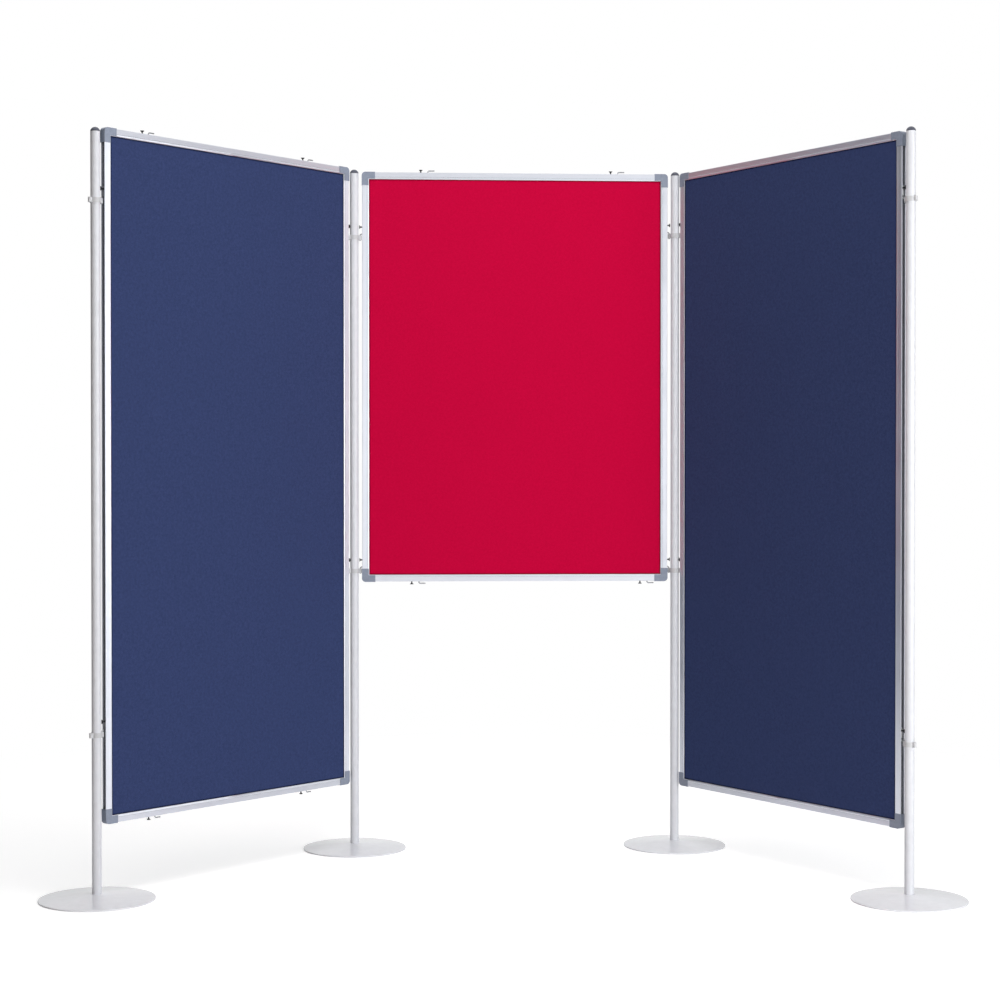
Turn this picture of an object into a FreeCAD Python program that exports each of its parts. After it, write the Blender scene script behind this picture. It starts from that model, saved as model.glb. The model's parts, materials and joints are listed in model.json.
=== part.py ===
import FreeCAD, Part
import math
import os
import Sketcher
from FreeCAD import Placement, Rotation, Vector

# A folding display wall: three felt panels in aluminium frames, hung by hooks on ring clips that are
# sprung round four posts. Each post stands on a round base plate.
# Millimetres, Z up, floor at Z = 0. The front of every panel faces -Y, and the origin is on the floor
# under the middle of the whole wall.

SIZES = {
    # panels
    "panel_width": 900.0,
    "wing_height": 1800.0,
    "centre_height": 1200.0,
    "wing_lift": 182.0,
    "left_rise": 11.0,
    "centre_rise": 2.0,
    "left_angle": 47.0,
    "right_angle": 59.0,
    "board_thickness": 8.8,
    "felt_thickness": 1.5,
    "felt_fit": 0.1,
    # frame extrusion
    "lip_wall": 2.0,
    "frame_face": 20.0,
    "flat_band": 13.5,
    "bead_step": 0.6,
    "bead_nose": 0.6,
    "bead_rise": 0.95,
    "outer_round": 1.5,
    "channel_width": 11.0,
    "channel_depth": 8.0,
    "channel_web": 2.0,
    "board_gap": 0.5,
    # corner caps
    "cap_leg": 38.0,
    "cap_band": 18.8,
    "cap_radius": 11.0,
    "cap_wall": 1.1,
    "cap_fit": 0.1,
    "tongue_inset": 6.0,
    "tongue_depth": 6.5,
    "tongue_fit": 0.15,
    # couplings
    "pair_spacing": 21.0,
    "plate_end": 7.0,
    "plate_thickness": 3.0,
    "plate_fit": 0.2,
    "stud_shank": 4.0,
    "stud_head": 11.0,
    "stud_rim": 0.8,
    "stud_cone": 2.8,
    "stud_reach": 8.5,
    "fixing_fit": 0.05,
    "fixing_inset": 0.3,
    "hook_wire": 3.6,
    "hook_bend": 4.5,
    "hook_leg": 14.0,
    "hook_tip": 1.0,
    # posts
    "post_rise": 9.0,
    "post_diameter": 25.0,
    "post_wall": 1.5,
    "plug_fit": 0.05,
    "dome_rim": 1.5,
    "dome_rise": 10.0,
    "spigot_length": 20.0,
    "foot_length": 30.0,
    "base_diameter": 300.0,
    "base_rim": 4.0,
    "base_round": 1.5,
    "hub_diameter": 32.0,
    "hub_height": 16.0,
    "screw_shank": 8.0,
    "screw_head": 16.0,
    "screw_head_height": 5.0,
    "screw_reach": 24.0,
    "screw_fit": 0.3,
    "screw_recess": 1.0,
    "socket_diameter": 5.8,
    "socket_depth": 3.0,
    # clips
    "clip_height": 13.0,
    "clip_fit": 0.15,
    "clip_wall": 1.85,
    "clip_slit": 6.0,
    "ear_web": 3.65,
    "eye_clearance": 0.4,
    "ear_wall": 2.05,
    "ear_gap": 1.75,
    # upright edges: each upper hook below the panel's top, each lower hook above the lower corner cap
    "outer_left_drop": 179.0,
    "outer_left_stand": 206.0,
    "inner_left_drop": 181.0,
    "inner_left_stand": 4.5,
    "inner_right_drop": 170.0,
    "inner_right_stand": 4.0,
    "outer_right_drop": 166.0,
    "outer_right_stand": 194.0,
    # top and bottom edges: the first stud from the panel's left edge, the last from its right edge
    "left_top_first": 131.0,
    "left_top_last": 180.0,
    "left_bottom_first": 148.0,
    "left_bottom_last": 190.0,
    "centre_top_first": 172.0,
    "centre_top_last": 168.0,
    "centre_bottom_first": 145.0,
    "centre_bottom_last": 80.0,
}

# Share of a quarter round's radius by which a straight cut across the corner stays inside it.
CORNER_TUCK = 2 - math.sqrt(2)

doc = FreeCAD.newDocument("DisplayWall")
sheet = doc.addObject("Spreadsheet::Sheet", "Sizes")
for row, (name, amount) in enumerate(SIZES.items(), start=1):
    sheet.set(f"A{row}", name)
    sheet.set(f"B{row}", str(amount))
    sheet.setAlias(f"B{row}", name)
doc.recompute()


class Size:
    """A size of the wall: its value, and the expression that binds it to the sheet."""

    def __init__(self, value, text):
        self.value = value
        self.text = text

    def __add__(self, other):
        return Size(self.value + value_of(other), f"({self.text} + {text_of(other)})")

    def __radd__(self, other):
        return Size(value_of(other) + self.value, f"({text_of(other)} + {self.text})")

    def __sub__(self, other):
        return Size(self.value - value_of(other), f"({self.text} - {text_of(other)})")

    def __mul__(self, other):
        return Size(self.value * value_of(other), f"({self.text} * {text_of(other)})")

    def __rmul__(self, other):
        return Size(value_of(other) * self.value, f"({text_of(other)} * {self.text})")

    def __truediv__(self, other):
        return Size(self.value / value_of(other), f"({self.text} / {text_of(other)})")

    def __neg__(self):
        return Size(-self.value, f"(-1 * {self.text})")


def value_of(item):
    return item.value if isinstance(item, Size) else float(item)


def text_of(item):
    return item.text if isinstance(item, Size) else repr(float(item))


class Sheet:
    """The named sizes, each read as an attribute."""

    def __init__(self):
        for name, amount in SIZES.items():
            setattr(self, name, Size(amount, f"Sizes.{name}"))


dim = Sheet()

# Sizes worked out from the named ones.
groove = dim.board_thickness + 2 * dim.felt_thickness + 2 * dim.felt_fit
panel_depth = groove + 2 * dim.lip_wall
rail_floor = dim.channel_depth + dim.channel_web
board_inset = rail_floor + dim.board_gap
wire_radius = dim.hook_wire / 2
eye_radius = wire_radius + dim.eye_clearance
ear_radius = eye_radius + dim.ear_wall
post_radius = dim.post_diameter / 2
tube_bore = post_radius - dim.post_wall
clip_bore = post_radius + dim.clip_fit
clip_outer = clip_bore + dim.clip_wall
eye_reach = clip_bore + dim.ear_web + eye_radius
edge_reach = ear_radius + dim.ear_gap
tongue_leg = dim.cap_leg - dim.tongue_inset
plate_length = dim.pair_spacing + 2 * dim.plate_end
right_top = dim.wing_lift + dim.wing_height
left_top = right_top + dim.left_rise
centre_top = right_top + dim.centre_rise
post_height = right_top + dim.post_rise
tube_top = post_height - dim.dome_rise - dim.dome_rim


def bind(item, **sizes):
    """Bind properties of an object to sizes."""
    for name, size in sizes.items():
        item.setExpression(name, text_of(size))


def at(x=0, y=0, z=0, turn=0, axis=Vector(0, 0, 1)):
    """A placement from a position, a turn in degrees and the axis of the turn."""
    return Placement(Vector(value_of(x), value_of(y), value_of(z)), Rotation(axis, turn))


def plane(body, role):
    return next(item for item in body.Origin.OriginFeatures if item.Role == role)


def arc_between(start, end, radius, turn):
    """The short arc from start to end: turn is 1 anticlockwise, -1 clockwise."""
    first, last = (start, end) if turn > 0 else (end, start)
    chord = last - first
    height = math.sqrt(max(radius ** 2 - chord.Length ** 2 / 4, 0))
    left = Vector(-chord.y, chord.x, 0).normalize()
    centre = (first + last) * 0.5 + left * height
    from_angle = math.atan2(first.y - centre.y, first.x - centre.x)
    to_angle = math.atan2(last.y - centre.y, last.x - centre.x)
    if to_angle < from_angle:
        to_angle += 2 * math.pi
    return Part.ArcOfCircle(Part.Circle(centre, Vector(0, 0, 1), radius), from_angle, to_angle)


def outline(body, role, name, corners):
    """A closed outline in one of the body's planes.

    A corner is (across, up), or (across, up, radius, turn) when the run to the next corner is an arc.
    """
    sketch = body.newObject("Sketcher::SketchObject", name)
    sketch.AttachmentSupport = [(plane(body, role), "")]
    sketch.MapMode = "FlatFace"
    points = [Vector(value_of(corner[0]), value_of(corner[1]), 0) for corner in corners]
    count = len(corners)
    ends = []
    for index, corner in enumerate(corners):
        start = points[index]
        finish = points[(index + 1) % count]
        if len(corner) == 2:
            sketch.addGeometry(Part.LineSegment(start, finish), False)
            ends.append((1, 2))
        else:
            sketch.addGeometry(arc_between(start, finish, value_of(corner[2]), corner[3]), False)
            ends.append((1, 2) if corner[3] > 0 else (2, 1))
    for index in range(count):
        after = (index + 1) % count
        sketch.addConstraint(Sketcher.Constraint("Coincident", index, ends[index][1], after, ends[after][0]))
    for index, corner in enumerate(corners):
        pin(sketch, "DistanceX", index, ends[index][0], corner[0], -2)
        pin(sketch, "DistanceY", index, ends[index][0], corner[1], -1)
        if len(corner) == 4:
            radius = sketch.addConstraint(Sketcher.Constraint("Radius", index, value_of(corner[2])))
            sketch.setExpression(f"Constraints[{radius}]", text_of(corner[2]))
    return sketch


def pin(sketch, kind, curve, end, size, axis):
    """Hold one end of a curve at a distance from an axis, or on it."""
    if not isinstance(size, Size):
        sketch.addConstraint(Sketcher.Constraint("PointOnObject", curve, end, axis))
        return
    index = sketch.addConstraint(Sketcher.Constraint(kind, -1, 1, curve, end, size.value))
    sketch.setExpression(f"Constraints[{index}]", size.text)


def new_body(label):
    body = doc.addObject("PartDesign::Body", label)
    body.Label = label
    return body


def pad(body, sketch, length, kind="PartDesign::Pad"):
    """Add or take away a thickness, half on each side of the sketch's plane."""
    doc.recompute()
    item = body.newObject(kind, "thickness")
    item.Profile = sketch
    item.SideType = "Symmetric"
    bind(item, Length=length)
    body.Tip = item
    return item


def turned(label, corners, axis="V_Axis"):
    """A body of revolution about an axis of its XZ plane."""
    body = new_body(label)
    sketch = outline(body, "XZ_Plane", "section", corners)
    doc.recompute()
    item = body.newObject("PartDesign::Revolution", "turn")
    item.Profile = sketch
    item.ReferenceAxis = (sketch, [axis])
    item.Angle = 360
    body.Tip = item
    return body


def box(label, length, width, height, centre_z=None):
    """A block centred across its length and width, standing on Z = 0 or centred on it."""
    item = doc.addObject("Part::Box", label)
    item.Label = label
    bind(item, Length=length, Width=width, Height=height)
    bind(item, **{"Placement.Base.x": -length / 2, "Placement.Base.y": -width / 2})
    if centre_z:
        bind(item, **{"Placement.Base.z": -height / 2})
    return item


def rod(label, radius, height, base=(0, 0, 0), turn=0, axis=Vector(0, 0, 1)):
    """A cylinder, placed by sizes."""
    item = doc.addObject("Part::Cylinder", label)
    item.Label = label
    item.Placement = at(*base, turn, axis)
    bind(item, Radius=radius, Height=height)
    for letter, size in zip("xyz", base):
        if isinstance(size, Size):
            bind(item, **{f"Placement.Base.{letter}": size})
    return item


def fused(label, items):
    item = doc.addObject("Part::MultiFuse", label)
    item.Label = label
    item.Shapes = items
    return item


def cut(label, base, tool):
    item = doc.addObject("Part::Cut", label)
    item.Label = label
    item.Base = base
    item.Tool = tool
    return item


def group(label, master, places, frame=Placement()):
    """Separate copies of one piece, kept together under one name."""
    copies = []
    for place in places:
        copy = master.Shape.copy()
        copy.Placement = place
        copies.append(copy)
    item = doc.addObject("Part::Feature", label)
    item.Label = label
    item.Shape = Part.makeCompound(copies)
    item.Placement = frame
    return item


# Frame extrusion: its length runs along X, and its outer edge is on Z = 0 with the panel above it.
bead_run = dim.lip_wall - dim.bead_step - dim.bead_nose
bead_height = dim.frame_face - dim.flat_band
bead_chord = bead_run * bead_run + bead_height * bead_height
bead_radius = bead_chord / (8 * dim.bead_rise) + dim.bead_rise / 2
corner_cut = CORNER_TUCK * (dim.cap_radius - dim.cap_wall)


def rail(label, length):
    """One side of a frame, mitred at both ends, with the outer corner of each mitre taken off."""
    body = new_body(label)
    half = panel_depth / 2
    slot = groove / 2
    gap = dim.channel_width / 2
    section = [
        (gap, 0),
        (half - dim.outer_round, 0, dim.outer_round, 1),
        (half, dim.outer_round),
        (half, dim.flat_band),
        (half - dim.bead_step, dim.flat_band, bead_radius, 1),
        (slot + dim.bead_nose, dim.frame_face),
        (slot, dim.frame_face),
        (slot, rail_floor),
        (-slot, rail_floor),
        (-slot, dim.frame_face),
        (-(slot + dim.bead_nose), dim.frame_face, bead_radius, 1),
        (-(half - dim.bead_step), dim.flat_band),
        (-half, dim.flat_band),
        (-half, dim.outer_round, dim.outer_round, 1),
        (-(half - dim.outer_round), 0),
        (-gap, 0),
        (-gap, dim.channel_depth),
        (gap, dim.channel_depth),
    ]
    pad(body, outline(body, "YZ_Plane", "section", section), length)
    for name, side in (("left", -1), ("right", 1)):
        over = side * (length / 2 + dim.frame_face)
        tip = side * (length / 2 - corner_cut)
        shoulder = side * (length / 2 - corner_cut / 2)
        inner = side * (length / 2 - 2 * dim.frame_face)
        end = [
            (tip, 0),
            (tip, -dim.frame_face),
            (over, -dim.frame_face),
            (over, 2 * dim.frame_face),
            (inner, 2 * dim.frame_face),
            (shoulder, corner_cut / 2),
        ]
        mitre = outline(body, "XZ_Plane", f"{name}_mitre", end)
        pad(body, mitre, 2 * panel_depth, "PartDesign::Pocket")
    return body


# Corner cap: a shell over the corner at the origin, with the panel towards +X and +Z.
def corner_cap(label):
    body = new_body(label)
    skin = dim.cap_wall + dim.cap_fit
    shell = [
        (dim.cap_radius - skin, -skin),
        (dim.cap_leg, -skin),
        (dim.cap_leg, dim.cap_band),
        (dim.cap_band, dim.cap_band),
        (dim.cap_band, dim.cap_leg),
        (-skin, dim.cap_leg),
        (-skin, dim.cap_radius - skin, dim.cap_radius, 1),
    ]
    pad(body, outline(body, "XZ_Plane", "shell", shell), panel_depth + 2 * skin)
    beyond = 2 * dim.cap_leg
    nook = corner_cut - 2 * dim.cap_fit
    hollow = [
        (nook, -dim.cap_fit),
        (beyond, -dim.cap_fit),
        (beyond, beyond),
        (-dim.cap_fit, beyond),
        (-dim.cap_fit, nook),
    ]
    inside = outline(body, "XZ_Plane", "hollow", hollow)
    pad(body, inside, panel_depth + 2 * dim.cap_fit, "PartDesign::Pocket")
    root = dim.cap_fit + dim.cap_wall / 2
    tongue = [
        (dim.cap_radius, -root),
        (tongue_leg, -root),
        (tongue_leg, dim.tongue_depth),
        (dim.tongue_depth, dim.tongue_depth),
        (dim.tongue_depth, tongue_leg),
        (-root, tongue_leg),
        (-root, dim.cap_radius),
    ]
    pad(body, outline(body, "XZ_Plane", "tongue", tongue), dim.channel_width - 2 * dim.tongue_fit)
    return body


# Coupling pieces: the hook's arm leaves the panel's edge at the origin along +X, its leg points to -Z,
# and the stud is on the other side of it.
fixing_end = dim.channel_depth - dim.fixing_inset
stud_radius = dim.stud_shank / 2


def coupling_stud(label):
    neck = dim.stud_reach - dim.stud_rim - dim.stud_cone
    section = [
        (-fixing_end, 0),
        (dim.stud_reach, 0),
        (dim.stud_reach, dim.stud_head / 2),
        (dim.stud_reach - dim.stud_rim, dim.stud_head / 2),
        (neck, stud_radius),
        (-fixing_end, stud_radius),
    ]
    return turned(label, section, "H_Axis")


def coupling_hook(label):
    across = Vector(0, 1, 0)
    arm = rod("arm", wire_radius, fixing_end + edge_reach - dim.hook_bend, (-fixing_end, 0, 0), 90, across)
    bend = doc.addObject("Part::Torus", "bend")
    bend.Placement = Placement(Vector(), Rotation(Vector(1, 0, 0), 90))
    bind(bend, Radius1=dim.hook_bend, Radius2=wire_radius)
    bind(bend, **{"Placement.Base.x": edge_reach - dim.hook_bend, "Placement.Base.z": -dim.hook_bend})
    bend.Angle3 = 90
    leg = rod("leg", wire_radius, dim.hook_leg, (edge_reach, 0, -(dim.hook_bend + dim.hook_leg)))
    tip = doc.addObject("Part::Cone", "tip")
    bind(tip, Radius1=wire_radius - dim.hook_tip, Radius2=wire_radius, Height=dim.hook_tip)
    tip_height = dim.hook_bend + dim.hook_leg + dim.hook_tip
    bind(tip, **{"Placement.Base.x": edge_reach, "Placement.Base.z": -tip_height})
    return fused(label, [arm, bend, leg, tip])


def coupling_plate(label):
    bar = box("bar", dim.plate_thickness, dim.channel_width - 2 * dim.plate_fit, plate_length)
    bind(bar, **{
        "Placement.Base.x": -dim.channel_depth,
        "Placement.Base.z": dim.pair_spacing / 2 - plate_length / 2,
    })
    along = Vector(0, 1, 0)
    start = -(dim.channel_depth + dim.plate_thickness)
    depth = 3 * dim.plate_thickness
    hook_hole = rod("hook_hole", wire_radius + dim.fixing_fit, depth, (start, 0, 0), 90, along)
    stud_base = (start, 0, dim.pair_spacing)
    stud_hole = rod("stud_hole", stud_radius + dim.fixing_fit, depth, stud_base, 90, along)
    return cut(label, bar, fused("holes", [hook_hole, stud_hole]))


# Ring clip: sprung round the post, with an eye on each side and a slit at the back.
def ring_clip(label):
    tall = dim.clip_height
    low = -tall / 2
    ring = rod("ring", clip_outer, tall, (0, 0, low))
    ears = [rod(f"ear_{side}", ear_radius, tall, (side * eye_reach, 0, low)) for side in (-1, 1)]
    neck = box("neck", 2 * eye_reach, 2 * ear_radius, tall, "middle")
    solid = fused("clip_solid", [ring, neck] + ears)
    bore = rod("bore", clip_bore, 2 * tall, (0, 0, -tall))
    eyes = [rod(f"eye_{side}", eye_radius, 2 * tall, (side * eye_reach, 0, -tall)) for side in (-1, 1)]
    slit = box("slit", dim.clip_slit, 2 * clip_outer, 2 * tall, "middle")
    bind(slit, **{"Placement.Base.y": clip_bore / 2})
    return cut(label, solid, fused("clip_hollow", [bore, slit] + eyes))


# Post pieces, each about the post's own axis.
def post_tube(label):
    length = tube_top - dim.hub_height
    outer = rod("tube_outer", post_radius, length, (0, 0, dim.hub_height))
    inner = rod("tube_inner", tube_bore, length + dim.foot_length, (0, 0, dim.hub_height - dim.foot_length / 2))
    return cut(label, outer, inner)


def post_cap(label):
    spigot = tube_bore - dim.plug_fit
    dome = post_radius * post_radius + dim.dome_rise * dim.dome_rise
    section = [
        (0, tube_top - dim.spigot_length),
        (spigot, tube_top - dim.spigot_length),
        (spigot, tube_top),
        (post_radius, tube_top),
        (post_radius, tube_top + dim.dome_rim, dome / (2 * dim.dome_rise), 1),
        (0, post_height),
    ]
    return turned(label, section)


def foot_plug(label):
    inner = dim.screw_shank / 2 + dim.fixing_fit
    outer = tube_bore - dim.plug_fit
    section = [
        (inner, dim.hub_height),
        (outer, dim.hub_height),
        (outer, dim.hub_height + dim.foot_length),
        (inner, dim.hub_height + dim.foot_length),
    ]
    return turned(label, section)


def base_plate(label):
    rim = dim.base_diameter / 2
    hub = dim.hub_diameter / 2
    hole = dim.screw_shank / 2 + dim.screw_fit
    seat = dim.screw_head / 2 + dim.screw_fit
    seat_top = dim.screw_recess + dim.screw_head_height
    section = [
        (seat, 0),
        (rim, 0),
        (rim, dim.base_rim - dim.base_round, dim.base_round, 1),
        (rim - dim.base_round, dim.base_rim),
        (hub, dim.hub_height),
        (hole, dim.hub_height),
        (hole, seat_top),
        (seat, seat_top),
    ]
    return turned(label, section)


def base_screw(label):
    shank = dim.screw_shank / 2
    head = dim.screw_head / 2
    socket = dim.socket_diameter / 2
    seat_top = dim.screw_recess + dim.screw_head_height
    section = [
        (socket, dim.screw_recess),
        (head, dim.screw_recess),
        (head, seat_top),
        (shank, seat_top),
        (shank, dim.hub_height + dim.screw_reach),
        (0, dim.hub_height + dim.screw_reach),
        (0, dim.screw_recess + dim.socket_depth),
        (socket, dim.screw_recess + dim.socket_depth),
    ]
    return turned(label, section)


# Where everything stands: first about the middle of the centre panel, then about the middle of the wall.
def heading(angle, side):
    """Level direction away from the centre panel, folded forwards by an angle."""
    turn = math.radians(angle)
    return Vector(side * math.cos(turn), -math.sin(turn), 0)


def wing_layout(side, angle):
    """Points of one wing: its clips' eyes, its two posts and its panel's middle."""
    half_width = dim.panel_width.value / 2
    hinge = Vector(side * (half_width + edge_reach.value), 0, 0)
    step = heading(angle / 2, side) * eye_reach.value
    run = heading(angle, side)
    near_eye = hinge + step * 2
    far_eye = near_eye + run * (2 * half_width + 2 * edge_reach.value)
    return {
        "centre_eye": hinge,
        "inner_post": hinge + step,
        "near_eye": near_eye,
        "middle": near_eye + run * (half_width + edge_reach.value),
        "far_eye": far_eye,
        "outer_post": far_eye + run * eye_reach.value,
        "free_eye": far_eye + run * (2 * eye_reach.value),
    }


left_wing = wing_layout(-1, dim.left_angle.value)
right_wing = wing_layout(1, dim.right_angle.value)
front = min(left_wing["outer_post"].y, right_wing["outer_post"].y)
back = max(left_wing["inner_post"].y, right_wing["inner_post"].y)
origin = Vector((left_wing["outer_post"].x + right_wing["outer_post"].x) / 2, (front + back) / 2, 0)
for layout in (left_wing, right_wing):
    for name in layout:
        layout[name] = layout[name] - origin



def hook_heights(top, height, drop, stand):
    """Where the upper and the lower hook leave an upright edge."""
    return top - drop, top - height + dim.cap_leg + stand


outer_left_hooks = hook_heights(left_top, dim.wing_height, dim.outer_left_drop, dim.outer_left_stand)
inner_left_hooks = hook_heights(centre_top, dim.centre_height, dim.inner_left_drop, dim.inner_left_stand)
inner_right_hooks = hook_heights(centre_top, dim.centre_height, dim.inner_right_drop, dim.inner_right_stand)
outer_right_hooks = hook_heights(right_top, dim.wing_height, dim.outer_right_drop, dim.outer_right_stand)

PANELS = {
    "left": {
        "frame": Placement(left_wing["middle"], Rotation(Vector(0, 0, 1), dim.left_angle.value)),
        "height": dim.wing_height,
        "top": left_top,
        "left_edge": outer_left_hooks,
        "right_edge": inner_left_hooks,
        "top_edge": (dim.left_top_first, dim.panel_width - dim.left_top_last),
        "bottom_edge": (dim.left_bottom_first, dim.panel_width - dim.left_bottom_last),
    },
    "centre": {
        "frame": Placement(-origin, Rotation()),
        "height": dim.centre_height,
        "top": centre_top,
        "left_edge": inner_left_hooks,
        "right_edge": inner_right_hooks,
        "top_edge": (dim.centre_top_first, dim.panel_width - dim.centre_top_last),
        "bottom_edge": (dim.centre_bottom_first, dim.panel_width - dim.centre_bottom_last),
    },
    "right": {
        "frame": Placement(right_wing["middle"], Rotation(Vector(0, 0, 1), -dim.right_angle.value)),
        "height": dim.wing_height,
        "top": right_top,
        "left_edge": inner_right_hooks,
        "right_edge": outer_right_hooks,
        "top_edge": (),
        "bottom_edge": (),
    },
}

POSTS = {
    "outer_left": {
        "stand": left_wing["outer_post"],
        "turn": dim.left_angle.value,
        "hooks": outer_left_hooks,
    },
    "inner_left": {
        "stand": left_wing["inner_post"],
        "turn": dim.left_angle.value / 2,
        "hooks": inner_left_hooks,
    },
    "inner_right": {
        "stand": right_wing["inner_post"],
        "turn": -dim.right_angle.value / 2,
        "hooks": inner_right_hooks,
    },
    "outer_right": {
        "stand": right_wing["outer_post"],
        "turn": -dim.right_angle.value,
        "hooks": outer_right_hooks,
    },
}

across_panel = Vector(0, 1, 0)
cap_master = corner_cap("cap_master")
stud_master = coupling_stud("stud_master")
hook_master = coupling_hook("hook_master")
plate_master = coupling_plate("plate_master")
clip_master = ring_clip("clip_master")
doc.recompute()

nodes = []


def hung(item, frame, local):
    """Put a piece in its place in a panel, and keep it as one of the wall's pieces."""
    item.Placement = frame.multiply(local)
    nodes.append(item)


def coupling_places(panel):
    """Where the hooks leave a panel's four edges: the leg hangs down or points to the right."""
    half = dim.panel_width / 2
    bottom = panel["top"] - panel["height"]
    places = [at(half, 0, height) for height in panel["right_edge"]]
    places += [at(-half, 0, height, 180) for height in panel["left_edge"]]
    for along in panel["top_edge"]:
        places.append(at(along + dim.pair_spacing - half, 0, panel["top"], -90, across_panel))
    for along in panel["bottom_edge"]:
        places.append(at(along + dim.pair_spacing - half, 0, bottom, 180, Vector(1, 0, -1)))
    return places


def build_panel(name, panel):
    frame = panel["frame"]
    top = panel["top"]
    bottom = top - panel["height"]
    middle = top - panel["height"] / 2
    half = dim.panel_width / 2
    hung(rail(f"{name}_top_rail", dim.panel_width), frame, at(0, 0, top, 180, across_panel))
    hung(rail(f"{name}_bottom_rail", dim.panel_width), frame, at(0, 0, bottom))
    hung(rail(f"{name}_left_stile", panel["height"]), frame, at(-half, 0, middle, 90, across_panel))
    hung(rail(f"{name}_right_stile", panel["height"]), frame, at(half, 0, middle, -90, across_panel))
    corners = [
        at(-half, 0, bottom),
        at(half, 0, bottom, -90, across_panel),
        at(half, 0, top, 180, across_panel),
        at(-half, 0, top, 90, across_panel),
    ]
    nodes.append(group(f"{name}_corner_caps", cap_master, corners, frame))
    width = dim.panel_width - 2 * board_inset
    tall = panel["height"] - 2 * board_inset
    felt_middle = dim.board_thickness / 2 + dim.felt_thickness / 2
    layers = (
        ("core_board", dim.board_thickness, 0),
        ("front_felt", dim.felt_thickness, -1),
        ("back_felt", dim.felt_thickness, 1),
    )
    for layer, thickness, side in layers:
        item = doc.addObject("Part::Box", f"{name}_{layer}")
        item.Label = f"{name}_{layer}"
        bind(item, Length=width, Width=thickness, Height=tall)
        start = side * felt_middle - thickness / 2 if side else -thickness / 2
        hung(item, frame, at(-width / 2, start, bottom + board_inset))
    places = coupling_places(panel)
    above = at(0, 0, dim.pair_spacing)
    studs = [place.multiply(above) for place in places]
    nodes.append(group(f"{name}_coupling_studs", stud_master, studs, frame))
    nodes.append(group(f"{name}_coupling_hooks", hook_master, places, frame))
    nodes.append(group(f"{name}_coupling_plates", plate_master, places, frame))


def build_post(name, post):
    stand = at(post["stand"].x, post["stand"].y, 0, post["turn"])
    for make in (post_tube, post_cap, foot_plug, base_plate, base_screw):
        hung(make(f"{name}_{make.__name__}"), stand, Placement())
    below = dim.hook_bend + dim.clip_height / 2
    rings = [at(0, 0, height - below) for height in post["hooks"]]
    nodes.append(group(f"{name}_post_clips", clip_master, rings, stand))


for name, panel in PANELS.items():
    build_panel(name, panel)
for name, post in POSTS.items():
    build_post(name, post)
doc.recompute()

for item in doc.Objects:
    if "Invalid" in item.State or "Error" in item.State:
        raise RuntimeError(f"{item.Label} was not made")
os.makedirs("parts", exist_ok=True)
for item in nodes:
    if item.Shape.isNull() or not item.Shape.isValid():
        raise RuntimeError(f"{item.Label} has no sound shape")
    item.Shape.exportStep(f"parts/{item.Label}.step")
print(len(nodes), "pieces written")
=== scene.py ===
# %% [markdown]
# # A folding display wall
# Three felt boards in aluminium frames hang between four posts on round plates. The rigid pieces come from
# the imported solids and stay exactly where they are. This lesson dresses them: it makes the felt, gives every
# surface the finish of the real material, and sets up a plain pale studio with the camera where the picture
# was taken. The first cell loads the frame.

# %% Load the frame
import json
import math
import bpy
from mathutils import Matrix, Vector


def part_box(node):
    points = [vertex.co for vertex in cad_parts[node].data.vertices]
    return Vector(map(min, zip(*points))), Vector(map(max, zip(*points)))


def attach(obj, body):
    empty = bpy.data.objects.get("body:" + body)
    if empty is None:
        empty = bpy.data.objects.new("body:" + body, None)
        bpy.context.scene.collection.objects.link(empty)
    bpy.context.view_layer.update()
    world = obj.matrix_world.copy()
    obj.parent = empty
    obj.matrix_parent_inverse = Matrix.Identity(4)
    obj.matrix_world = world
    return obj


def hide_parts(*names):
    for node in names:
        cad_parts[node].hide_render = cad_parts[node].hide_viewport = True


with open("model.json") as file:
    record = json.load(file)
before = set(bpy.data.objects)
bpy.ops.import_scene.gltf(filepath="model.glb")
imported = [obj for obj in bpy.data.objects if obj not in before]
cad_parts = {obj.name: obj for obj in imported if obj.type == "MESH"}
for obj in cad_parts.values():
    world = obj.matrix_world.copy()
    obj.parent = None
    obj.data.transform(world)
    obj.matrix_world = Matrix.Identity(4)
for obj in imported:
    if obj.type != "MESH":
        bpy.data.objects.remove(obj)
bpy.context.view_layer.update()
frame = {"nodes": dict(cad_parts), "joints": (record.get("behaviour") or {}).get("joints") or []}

nodes = frame["nodes"]
scene = bpy.context.scene

# %% [markdown]
# ## The camera
# A camera can be set by eye, but here it was worked out by matching the posts' feet and the panels' edges
# with their places in the picture. It stands about 5.5 m away at chest height, a little left of the middle,
# and its long lens keeps the posts almost upright. The picture is square, so the sensor's width is also its
# height.

# %% Set up the camera
CAMERA_PLACE = (-0.28779, -5.52124, 1.09266)
LEVEL, TILT_DOWN, TURN_RIGHT = 90.0, 0.670, 3.101
FOCAL_LENGTH, SENSOR_WIDTH = 72.534, 36.0

lens_data = bpy.data.cameras.new("studio_camera")
lens_data.sensor_width = SENSOR_WIDTH
lens_data.lens = FOCAL_LENGTH
camera = bpy.data.objects.new("studio_camera", lens_data)
scene.collection.objects.link(camera)
camera.location = CAMERA_PLACE
camera.rotation_euler = (math.radians(LEVEL - TILT_DOWN), 0, math.radians(-TURN_RIGHT))
scene.camera = camera
print("camera at", [round(x, 3) for x in camera.location], "lens", lens_data.lens)

# %% [markdown]
# ## Where each panel stands
# A panel's own axes make its felt and its metal easy to describe: across, through and up. The hinge points of
# the frame say which way each panel runs, because every panel hangs between two of them. So the angles are
# measured from the frame here and are not typed in.

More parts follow.
